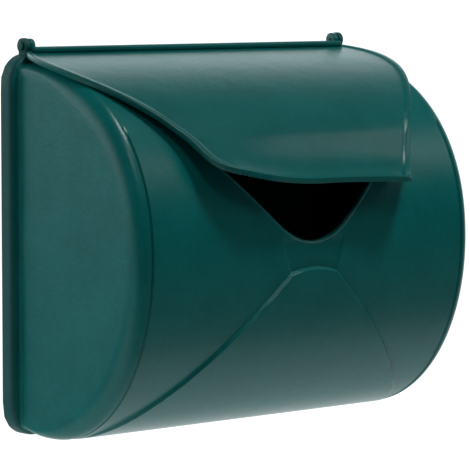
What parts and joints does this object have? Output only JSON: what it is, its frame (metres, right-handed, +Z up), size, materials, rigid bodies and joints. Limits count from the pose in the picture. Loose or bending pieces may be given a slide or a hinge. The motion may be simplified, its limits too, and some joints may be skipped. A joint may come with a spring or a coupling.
{
  "type": "wall mounted mailbox",
  "caption": "Half-round moulded wall mailbox with a hinged envelope-flap lid over a V-shaped letter mouth, closed behind by a screwed-on back panel.",
  "frame": {"origin": "centre of the back panel's rear face, which lies on the wall", "axes": "+X along the wall, -Y out from the wall, +Z up"},
  "size_m": [0.262, 0.125, 0.2196],
  "materials": {
    "green_plastic": "semi-gloss moulded polypropylene, dark teal green, fine grain",
    "zinc_steel": "bright zinc plating"
  },
  "bodies": {
    "box": {"box_shell": "green_plastic", "back_panel": "green_plastic", "hinge_pin_left": "green_plastic", "hinge_pin_right": "green_plastic", "panel_screw_1": "zinc_steel", "panel_screw_2": "zinc_steel", "panel_screw_3": "zinc_steel", "panel_screw_4": "zinc_steel", "panel_screw_5": "zinc_steel", "panel_screw_6": "zinc_steel"},
    "flap": {"lid": "green_plastic"}
  },
  "joints": [
    {"name": "lid_hinge", "type": "hinge", "parent": "box", "child": "flap", "pos_m": [0, -0.0045, 0.1098], "axis": [-1, 0, 0], "range_deg": [0, 105]}
  ]
}
